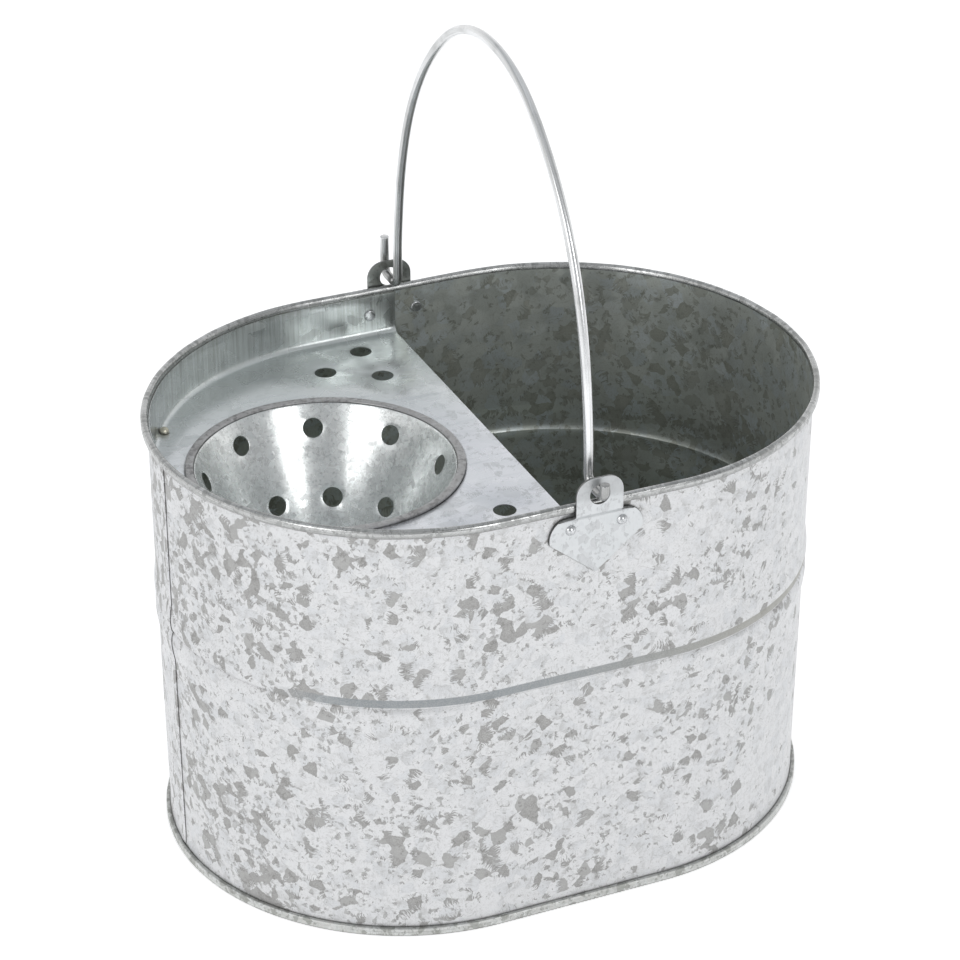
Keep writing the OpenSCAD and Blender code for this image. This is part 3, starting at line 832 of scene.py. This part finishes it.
mouth = lipRadius - cone["lipWidth"]
slope = math.tan(math.radians(cone["angle"]))


def coneRadius(depth):
    return mouth - depth * slope


def onCone(turnRadians, depth):
    reach = coneRadius(depth)
    return (coneAxis[0] + reach * math.cos(turnRadians), coneAxis[1] + reach * math.sin(turnRadians),
            lipTop - depth)


def fromAxis(place):
    # level reach from the cone's axis
    return Vector((place.x - coneAxis[0], place.y - coneAxis[1], 0))


def punchedCell(bm, high, low, row, turnDegrees):
    # one round hole and the patch of sheet around it
    count = 4 * cone["side"]
    width = 2 * math.pi / cone["holes"]
    hole = bmesh.ops.create_circle(bm, segments=count, radius=1)["verts"]
    border = bmesh.ops.create_circle(bm, segments=count, radius=1)["verts"]
    middle = math.radians(turnDegrees)
    upright = math.cos(math.radians(cone["angle"]))
    for index, (inner, outer) in enumerate(zip(hole, border)):
        swing = 2 * math.pi * index / count
        across, down = cone["hole"] * math.cos(swing), -cone["hole"] * math.sin(swing)
        inner.co = onCone(middle + across / coneRadius(row), row + down * upright)
        side, step = divmod((index + cone["side"] // 2) % count, cone["side"])
        share = step / cone["side"]
        sideways = (0.5, 0.5 - share, -0.5, share - 0.5)[side]
        upward = (share, 1, 1 - share, 0)[side]
        outer.co = onCone(middle + sideways * width, low + (high - low) * upward)
    loops = {e for v in hole + border for e in v.link_edges}
    spokes = bmesh.ops.bridge_loops(bm, edges=list(loops))["edges"]
    bmesh.ops.subdivide_edges(bm, edges=spokes, cuts=cone["rings"], use_grid_fill=False)


bm = bmesh.new()
for (row, start), high, low in zip(cone["rows"], cone["bands"], cone["bands"][1:]):
    for index in range(cone["holes"]):
        punchedCell(bm, high, low, row, start + index * 360 / cone["holes"])
for vert in bm.verts:
    reach = fromAxis(vert.co)
    flush = coneRadius(lipTop - vert.co.z)
    vert.co += reach.normalized() * (flush - reach.length)
bmesh.ops.remove_doubles(bm, verts=bm.verts, dist=2 * weld)
punchedFrom, punchedTo = cone["bands"][0] + cone["plainBorder"], cone["bands"][-1] - cone["plainBorder"]
for vert in bm.verts:
    if vert.is_boundary and punchedFrom < lipTop - vert.co.z < punchedTo:
        vert.co += fromAxis(vert.co).normalized() * cone["dimple"]
footHeight = lipTop - cone["bands"][-1] + 10 * weld
foot = [e for e in bm.edges if e.is_boundary and all(v.co.z < footHeight for v in e.verts)]
footSteps = ((cone["footBend"], 0), (cone["depth"], cone["footRound"]), (cone["depth"], cone["ledge"]))
for depth, shrink in footSteps:
    grown = bmesh.ops.extrude_edge_only(bm, edges=foot)["geom"]
    foot = onlyEdges(grown)
    for vert in onlyVerts(grown):
        reach = fromAxis(vert.co).normalized() * (coneRadius(depth) - shrink)
        vert.co = (coneAxis[0] + reach.x, coneAxis[1] + reach.y, lipTop - depth)
bmesh.ops.recalc_face_normals(bm, faces=bm.faces)
faceTowards(bm, (0, 0, 1))
punchedCone = addPiece("punchedCone", bm, "bucket", [coneZinc], 40)
addThickness(punchedCone, sheet, -1, cone["sheetRound"], 3)
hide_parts("wringer_cone")

bm = bmesh.new()
curve, edge = cone["lipRound"], cone["lipEdge"]
profile = arc((mouth + curve, lipTop - curve), curve, 200, 90, 5)
profile += [(mouth + cone["lipCrest"], lipTop - cone["lipFall"])]
profile += arc((lipRadius - edge, lipTop - cone["lipFall"] - edge), edge, 90, 0, 4)
profile += [(lipRadius, deckTop + cone["lipGap"]), (mouth + cone["lipFoot"], deckTop + cone["lipGap"])]
geom = drawLine(bm, [(coneAxis[0] + r, coneAxis[1], z) for r, z in profile], True)
bmesh.ops.spin(bm, geom=geom, cent=(*coneAxis, 0), axis=(0, 0, 1), angle=2 * math.pi, steps=160,
               use_merge=True)
bmesh.ops.recalc_face_normals(bm, faces=bm.faces)
for vert in bm.verts:
    vert.co.z += noise.noise(vert.co / cone["lipWaveLength"]) * cone["lipWave"]
coneLip = addPiece("coneLip", bm, "bucket", [lipZinc], 40)
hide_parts("wringer_cone")

# Lugs: a riveted plate and the ear that holds the bail
lug = {
    "sheet": 1.2 * mm,
    "lobe": 11.5 * mm,
    "lobeDrop": 32.5 * mm,
    "tip": 2 * mm,
    "tipDrop": 53 * mm,
    "earWidth": 25.5 * mm,
    "earCorner": 9 * mm,
    "earHole": 5.5 * mm,
    "holeDrop": 9.5 * mm,
    "stepOut": 3.44 * mm,
    "stepHeight": 3.6 * mm,
    "stepDrop": 23 * mm,
    "neck": (0.4 * mm, 0.6 * mm),
    "round": 0.3 * mm,
}


def makeLug(name, nodeName, side, material):
    low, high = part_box(nodeName)
    middle, top, reach = (low.x + high.x) / 2, high.z, (high.x - low.x) / 2
    lobe = (reach - lug["lobe"], top - lug["lobeDrop"])
    tip = (0, top - lug["tipDrop"])
    run = math.dist(lobe, tip)
    lean = math.degrees(math.atan2(lobe[0], lobe[1] - tip[1]) - math.asin((lug["lobe"] - lug["tip"]) / run))
    corner, ear, lobeTop = lug["earCorner"], lug["earWidth"] / 2, lobe[1] + lug["lobe"]
    half = arc(tip, lug["tip"], -90, -lean, 4) + arc(lobe, lug["lobe"], -lean, 90, 20)
    half += [(ear + lug["neck"][0], lobeTop), (ear, lobeTop + lug["neck"][1])]
    half += arc((ear - corner, top - corner), corner, 0, 90, 14)
    outline = half + [(-x, z) for x, z in reversed(half[1:])]
    bm = bmesh.new()
    rings = onlyEdges(drawLine(bm, [(x, 0, z) for x, z in outline], True))
    upright = Matrix.Rotation(math.radians(90), 4, "X")
    made = bmesh.ops.create_circle(bm, segments=40, radius=lug["earHole"],
                                   matrix=Matrix.Translation((0, 0, top - lug["holeDrop"])) @ upright)
    rings += list({e for v in made["verts"] for e in v.link_edges})
    bmesh.ops.triangle_fill(bm, use_beauty=True, edges=rings, normal=(0, -1, 0))
    stepLow = top - lug["stepDrop"]
    for height in (stepLow, stepLow + lug["stepHeight"] / 2, stepLow + lug["stepHeight"]):
        geom = bm.verts[:] + bm.edges[:] + bm.faces[:]
        bmesh.ops.bisect_plane(bm, geom=geom, dist=weld, plane_co=(0, 0, height), plane_no=(0, 0, 1))
    face = min(abs(low.y), abs(high.y))
    for vert in bm.verts:
        share = clamped((vert.co.z - stepLow) / lug["stepHeight"])
        vert.co.y = side * (face + lug["stepOut"] * share)
        vert.co.x += middle
    bmesh.ops.recalc_face_normals(bm, faces=bm.faces)
    faceTowards(bm, (0, side, 0))
    # the cut edges take the dark painted-shade edge finish
    made = addPiece(name, bm, "bucket", [material, shadedSheetEdge], 20)
    addThickness(made, lug["sheet"], 1, lug["round"], 3)
    made.modifiers["thickness"].material_offset_rim = 1
    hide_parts(nodeName)


makeLug("frontLug", "front_lug", -1, lugZinc)
makeLug("backLug", "back_lug", 1, shadedBackLugZinc)

# Rivets: domed head outside, flat tail inside
rivet = {
    "head": 2.8 * mm,
    "dome": 1.9 * mm,
    "shank": 1.5 * mm,
    "tail": 3.1 * mm,
    "tailHeight": 1.1 * mm,
    "tailRound": 0.5 * mm,
    "headRim": 0.1 * mm,
    "sink": 0.05 * mm,
    "sides": 32,
}


def makeRivet(name, nodeName, side):
    low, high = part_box(nodeName)
    outer, inner = max(abs(low.y), abs(high.y)), min(abs(low.y), abs(high.y))
    underHead = outer - rivet["dome"] - rivet["sink"]
    ball = (rivet["head"] ** 2 + rivet["dome"] ** 2) / (2 * rivet["dome"])
    start = math.degrees(math.atan2(ball - rivet["dome"], rivet["head"]))
    curve = rivet["tailRound"]
    profile = arc((0, outer - ball), ball, 90, start, 8)
    profile += [(rivet["head"] - rivet["headRim"], underHead), (rivet["shank"], underHead)]
    profile += [(rivet["shank"], inner + rivet["tailHeight"]), (rivet["tail"], inner + rivet["tailHeight"])]
    profile += arc((rivet["tail"] - curve, inner + curve), curve, 0, -90, 3) + [(0, inner)]
    bm = bmesh.new()
    geom = drawLine(bm, [(r, side * y, 0) for r, y in profile], False)
    bmesh.ops.spin(bm, geom=geom, cent=(0, 0, 0), axis=(0, 1, 0), angle=2 * math.pi, steps=rivet["sides"],
                   use_merge=True)
    bmesh.ops.remove_doubles(bm, verts=bm.verts, dist=0.2 * weld)
    bmesh.ops.recalc_face_normals(bm, faces=bm.faces)
    bmesh.ops.translate(bm, verts=bm.verts, vec=((low.x + high.x) / 2, 0, (low.z + high.z) / 2))
    made = addPiece(name, bm, "bucket", [rivetSteel], 50)
    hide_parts(nodeName)


makeRivet("frontLeftRivet", "front_left_rivet", -1)
makeRivet("frontRightRivet", "front_right_rivet", -1)
makeRivet("backLeftRivet", "back_left_rivet", 1)
makeRivet("backRightRivet", "back_right_rivet", 1)

# Bead of solder in the deck's bend
solder = {
    "radius": 2.6 * mm,
    "rise": 0.8 * mm,
    "outward": 1.6 * mm,
    "lump": 0.10,
    "lumpLength": 2 * mm,
    "flatten": 0.85,
}
tackLow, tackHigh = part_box("deck_solder_tack")
tackPlace = Vector(((tackLow.x + tackHigh.x) / 2, (tackLow.y + tackHigh.y) / 2, tackLow.z + solder["rise"]))
tackPlace += outward(tackPlace) * solder["outward"]
bm = bmesh.new()
bmesh.ops.create_icosphere(bm, subdivisions=4, radius=solder["radius"])
for vert in bm.verts:
    vert.co *= 1 + solder["lump"] * noise.noise(vert.co / solder["lumpLength"])
bmesh.ops.scale(bm, verts=bm.verts, vec=(1, 1, solder["flatten"]))
bmesh.ops.translate(bm, verts=bm.verts, vec=tackPlace)
solderTack = addPiece("solderTack", bm, "bucket", [solderMetal], 60)
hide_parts("deck_solder_tack")

# Bail: one wire, swept from the front hook over the top to the back hook
bailLow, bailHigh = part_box("bail")
bail = {
    "radius": 2.5 * mm,
    "hookBend": 4.5 * mm,
    "frontHook": 8 * mm,
    "backHook": 22 * mm,
    "footBend": 6 * mm,
    "footRun": 8 * mm,
    "legRadius": 290 * mm,
    "shoulderRadius": 160 * mm,
    "crownRadius": 88 * mm,
    "legEnd": (-0.96, 0.28),
    "shoulderEnd": (-0.6, 0.8),
    "sides": 28,
    "bendSteps": 10,
    "legSteps": 24,
    "shoulderSteps": 32,
    "crownSteps": 44,
    "endRound": 0.4 * mm,
    "wave": 0.25 * mm,
    "waveLength": 38 * mm,
    "waveRun": 20 * mm,
}
wireX = (bailLow.x + bailHigh.x) / 2
wireY = bailHigh.y - bail["radius"]
wireZ = bailLow.z + bail["radius"]
legTurn = math.degrees(math.asin(bail["legEnd"][1]))
shoulderTurn = math.degrees(math.asin(bail["shoulderEnd"][1]) - math.asin(bail["legEnd"][1]))
crownTurn = math.degrees(math.pi - 2 * math.asin(bail["shoulderEnd"][1]))


def bendWire(bm, geom, centre, degrees, steps):
    return turn(bm, geom, (wireX, centre[0], centre[1]), (1, 0, 0), degrees, steps)


bm = bmesh.new()
start = Matrix.Translation((wireX, -wireY, wireZ + bail["frontHook"]))
ring = bmesh.ops.create_circle(bm, segments=bail["sides"], radius=bail["radius"], matrix=start)["verts"]
geom = ring + list({e for v in ring for e in v.link_edges})
firstRing = onlyEdges(geom)
geom = pull(bm, geom, (0, 0, bail["hookBend"] - bail["frontHook"]), 3)
geom = bendWire(bm, geom, (bail["hookBend"] - wireY, wireZ + bail["hookBend"]), 90, bail["bendSteps"])
geom = pull(bm, geom, (0, bail["footRun"], 0), 4)
footY = wireY - bail["hookBend"] - bail["footRun"]
geom = bendWire(bm, geom, (-footY, wireZ + bail["footBend"]), 90, bail["bendSteps"])
legCentre = Vector((bail["legRadius"] - (footY - bail["footBend"]), wireZ + bail["footBend"]))
shoulderCentre = legCentre + Vector(bail["legEnd"]) * (bail["legRadius"] - bail["shoulderRadius"])
crownCentre = shoulderCentre + Vector(bail["shoulderEnd"]) * (bail["shoulderRadius"] - bail["crownRadius"])
geom = bendWire(bm, geom, legCentre, -legTurn, bail["legSteps"])
geom = bendWire(bm, geom, shoulderCentre, -shoulderTurn, bail["shoulderSteps"])
geom = bendWire(bm, geom, crownCentre, -crownTurn, bail["crownSteps"])
geom = bendWire(bm, geom, (-shoulderCentre.x, shoulderCentre.y), -shoulderTurn, bail["shoulderSteps"])
geom = bendWire(bm, geom, (-legCentre.x, legCentre.y), -legTurn, bail["legSteps"])
geom = bendWire(bm, geom, (footY, wireZ + bail["footBend"]), 90, bail["bendSteps"])
geom = pull(bm, geom, (0, bail["footRun"], 0), 4)
geom = bendWire(bm, geom, (wireY - bail["hookBend"], wireZ + bail["hookBend"]), 90, bail["bendSteps"])
geom = pull(bm, geom, (0, 0, bail["backHook"] - bail["hookBend"]), 8)
for ends in (firstRing, onlyEdges(geom)):
    bmesh.ops.edgeloop_fill(bm, edges=ends)
    bmesh.ops.bevel(bm, geom=ends, offset=bail["endRound"], segments=2, profile=0.5, affect="EDGES",
                    material=-1)
bmesh.ops.recalc_face_normals(bm, faces=bm.faces)
for vert in bm.verts:
    drift = noise.noise(Vector((0, vert.co.y, vert.co.z)) / bail["waveLength"]) * bail["wave"]
    vert.co.x += drift * clamped((vert.co.z - wireZ - bail["waveRun"]) / bail["waveRun"])
bailWire = addPiece("bailWire", bm, "bail", [bailSteel], 50)
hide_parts("bail")

# two hidden pieces keep their own mesh and get a new finish
for nodeName, material in (("rim_wire", bailSteel), ("cone_floor", coneZinc)):
    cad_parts[nodeName].data.materials.clear()
    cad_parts[nodeName].data.materials.append(material)

# Studio: two soft boxes, a pale sky and a sheet of paper
softBoxes = {
    "frontBox": {"turn": 13, "lift": 27, "size": (0.62, 1.1), "power": 8},
    "leftBox": {"turn": -59, "lift": 27, "size": (0.85, 1.1), "power": 7},
}
for name, box in softBoxes.items():
    across, rise = math.radians(box["turn"]), math.radians(box["lift"])
    towards = Vector((math.sin(across) * math.cos(rise), -math.cos(across) * math.cos(rise), math.sin(rise)))
    light = bpy.data.lights.new(name, "AREA")
    light.shape = "RECTANGLE"
    light.size, light.size_y = box["size"]
    light.energy = box["power"]
    made = bpy.data.objects.new(name, light)
    scene.collection.objects.link(made)
    made.location = towards * studio["boxDistance"]
    made.rotation_euler = (studio["boxTarget"] - made.location).to_track_quat("-Z", "Y").to_euler()

world = bpy.data.worlds.new("studio")
scene.world = world
world.use_nodes = True
tree = world.node_tree
background = tree.nodes["Background"]
direction = addNode(tree, "ShaderNodeTexCoord", {}, {}).outputs["Generated"]
upward = addNode(tree, "ShaderNodeSeparateXYZ", {}, {0: direction}).outputs[2]
sky = blendColour(tree, remap(tree, upward, *studio["skyEdge"]), studio["skyLow"], studio["skyTop"])
# the open side of the room, between the two soft boxes, is darker
gap = addNode(tree, "ShaderNodeVectorMath", {"operation": "DOT_PRODUCT"},
              {0: direction, 1: studio["gapDirection"]}).outputs["Value"]
sky = blendColour(tree, remap(tree, gap, *studio["gapEdge"]), sky, studio["gapColour"])
tree.links.new(sky, background.inputs["Color"])
background.inputs["Strength"].default_value = studio["skyStrength"]

bm = bmesh.new()
bmesh.ops.create_circle(bm, cap_ends=True, segments=96, radius=studio["floorRadius"])
bmesh.ops.recalc_face_normals(bm, faces=bm.faces)
mesh = bpy.data.meshes.new("floor")
bm.to_mesh(mesh)
bm.free()
floor = bpy.data.objects.new("floor", mesh)
scene.collection.objects.link(floor)
paper, tree, shader = newMaterial("paper")
settings = {
    "Base Color": (*studio["floorColour"], 1),
    "Roughness": studio["floorRough"],
    "Specular IOR Level": 0.0,
    "Emission Color": (1, 1, 1, 1),
    "Emission Strength": studio["floorGlow"],
}
for socket, value in settings.items():
    shader.inputs[socket].default_value = value
mesh.materials.append(paper)
print("studio set")

bpy.context.view_layer.update()
